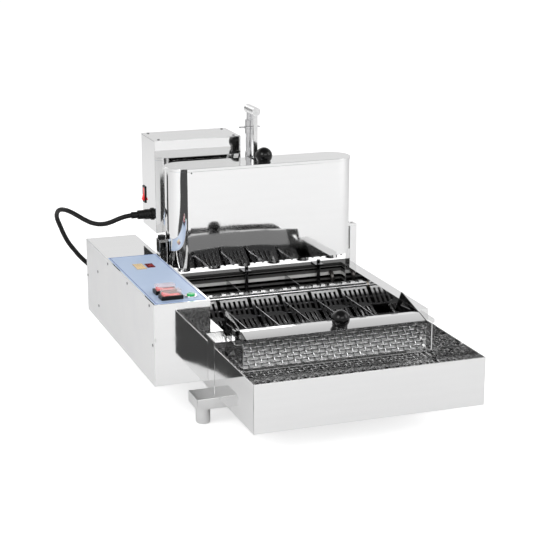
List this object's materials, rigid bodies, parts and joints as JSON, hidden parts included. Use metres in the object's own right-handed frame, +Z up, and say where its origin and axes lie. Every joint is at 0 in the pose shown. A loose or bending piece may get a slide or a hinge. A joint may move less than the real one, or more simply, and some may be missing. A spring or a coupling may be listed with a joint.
{
  "type": "donut fryer",
  "caption": "Countertop donut fryer: depositor hopper over a laned oil tank, flipper combs, tipping scoop, draining tray and side control box.",
  "frame": {"origin": "on the floor, under the middle of the machine's box without the cable", "axes": "+X to the right seen from the tray, +Y from the tray to the drive box, +Z up"},
  "size_m": [0.656, 0.869, 0.528],
  "materials": {
    "mirror_steel": "mirror polished stainless sheet",
    "satin_steel": "satin stainless sheet",
    "bright_wire": "bright stainless wire",
    "dark_wire": "oil-darkened stainless",
    "element_steel": "heat-darkened stainless tube",
    "grey_cover": "matte light grey",
    "black_knob": "glossy black",
    "black_plastic": "satin black",
    "black_rubber": "matt black sheath",
    "blue_film": "printed film, pale blue",
    "yellow_film": "printed film, yellow",
    "red_lens": "dark red lens",
    "red_rocker": "glossy red",
    "clear_hood": "clear moulded hood",
    "green_button": "glossy green",
    "chrome_ring": "chrome plated",
    "bronze_bush": "turned bronze",
    "motor_paint": "grey paint",
    "cream_plastic": "moulded cream plastic"
  },
  "bodies": {
    "chassis": {"base_channels": "satin_steel", "feet": "satin_steel", "tank_casing": "mirror_steel", "oil_tank": "mirror_steel", "heating_element": "element_steel", "probes": "dark_wire", "front_dividers": "dark_wire", "rear_dividers": "dark_wire", "shaft_bushes": "bronze_bush", "chute_frame": "mirror_steel", "chute_plate": "mirror_steel", "chute_net": "bright_wire", "control_box": "mirror_steel", "control_cover": "grey_cover", "cover_screws": "satin_steel", "panel_label": "blue_film", "display_window": "red_lens", "keypad": "yellow_film", "temperature_controller": "black_plastic", "switch_frames": "black_plastic", "switch_hoods": "clear_hood", "button_bezel": "chrome_ring", "contactor": "black_plastic", "terminal_block": "cream_plastic", "flipper_motor": "motor_paint", "mains_inlet": "black_plastic", "cable_gland": "black_plastic", "uprights": "satin_steel", "hopper_shell": "mirror_steel", "nozzles": "satin_steel", "nozzle_bolts": "satin_steel", "drive_spacers": "satin_steel", "guide_tube": "mirror_steel", "drive_box": "mirror_steel", "drive_cover": "satin_steel", "drive_motor": "motor_paint", "drive_switch_frame": "black_plastic", "drive_socket": "black_plastic", "cable_plug": "black_plastic", "cable": "black_rubber"},
    "lid": {"hopper_lid": "mirror_steel", "lid_knob": "black_knob"},
    "plunger": {"push_rod": "mirror_steel", "top_pin": "mirror_steel", "plunger_bar": "satin_steel", "plungers": "satin_steel"},
    "crank": {"drive_crank": "satin_steel"},
    "wing": {"wing_nut": "mirror_steel"},
    "scoop": {"scoop_frame": "mirror_steel", "scoop_combs": "dark_wire", "scoop_knob": "black_knob"},
    "flipper": {"flipper_shaft": "mirror_steel", "flipper_combs": "bright_wire"},
    "tray": {"tray": "satin_steel"},
    "rack": {"rack": "dark_wire"},
    "rocker_front": {"front_rocker": "red_rocker"},
    "rocker_rear": {"rear_rocker": "red_rocker"},
    "rocker_drive": {"drive_rocker": "red_rocker"},
    "button": {"start_button": "green_button"},
    "clamp": {"clamp_screw": "black_plastic"}
  },
  "joints": [
    {"name": "lid_lift", "type": "slide", "parent": "chassis", "child": "lid", "axis": [0, 0, 1], "range_m": [0, 0.08]},
    {"name": "plunger_stroke", "type": "slide", "parent": "chassis", "child": "plunger", "axis": [0, 0, 1], "range_m": [0, 0.03]},
    {"name": "crank_turn", "type": "hinge", "parent": "chassis", "child": "crank", "pos_m": [0.0186, 0.316, 0.33], "axis": [1, 0, 0], "range_deg": [0, 180]},
    {"name": "wing_nut_turn", "type": "hinge", "parent": "chassis", "child": "wing", "pos_m": [0.0356, 0.265, 0.4805], "axis": [0, 0, 1], "continuous": true},
    {"name": "scoop_tip", "type": "hinge", "parent": "chassis", "child": "scoop", "pos_m": [0.0356, -0.184, 0.171], "axis": [1, 0, 0], "range_deg": [0, 45]},
    {"name": "flipper_turn", "type": "hinge", "parent": "chassis", "child": "flipper", "pos_m": [0.0356, 0.086, 0.161], "axis": [1, 0, 0], "range_deg": [-200, 0]},
    {"name": "tray_pull", "type": "slide", "parent": "chassis", "child": "tray", "axis": [0, -1, 0], "range_m": [0, 0.2]},
    {"name": "rack_lift", "type": "slide", "parent": "tray", "child": "rack", "axis": [0, 0, 1], "range_m": [0, 0.025]},
    {"name": "front_rocker_tip", "type": "hinge", "parent": "chassis", "child": "rocker_front", "pos_m": [-0.2564, -0.127, 0.2425], "axis": [0, 1, 0], "range_deg": [-16, 0]},
    {"name": "rear_rocker_tip", "type": "hinge", "parent": "chassis", "child": "rocker_rear", "pos_m": [-0.2564, -0.0875, 0.2425], "axis": [0, 1, 0], "range_deg": [-16, 0]},
    {"name": "drive_rocker_tip", "type": "hinge", "parent": "chassis", "child": "rocker_drive", "pos_m": [-0.1709, 0.364, 0.33], "axis": [0, 1, 0], "range_deg": [-16, 0]},
    {"name": "start_button_press", "type": "slide", "parent": "chassis", "child": "button", "axis": [0, 0, -1], "range_m": [0, 0.0025], "stiffness_N_per_m": 200, "springref_m": -0.001},
    {"name": "clamp_screw_turn", "type": "hinge", "parent": "chassis", "child": "clamp", "pos_m": [-0.1784, 0.209, 0.271], "axis": [0, 0, 1], "continuous": true}
  ],
  "couplings": [
    {"joint": "crank_turn", "follows": "plunger_stroke", "rad_per_m": 104.72}
  ]
}
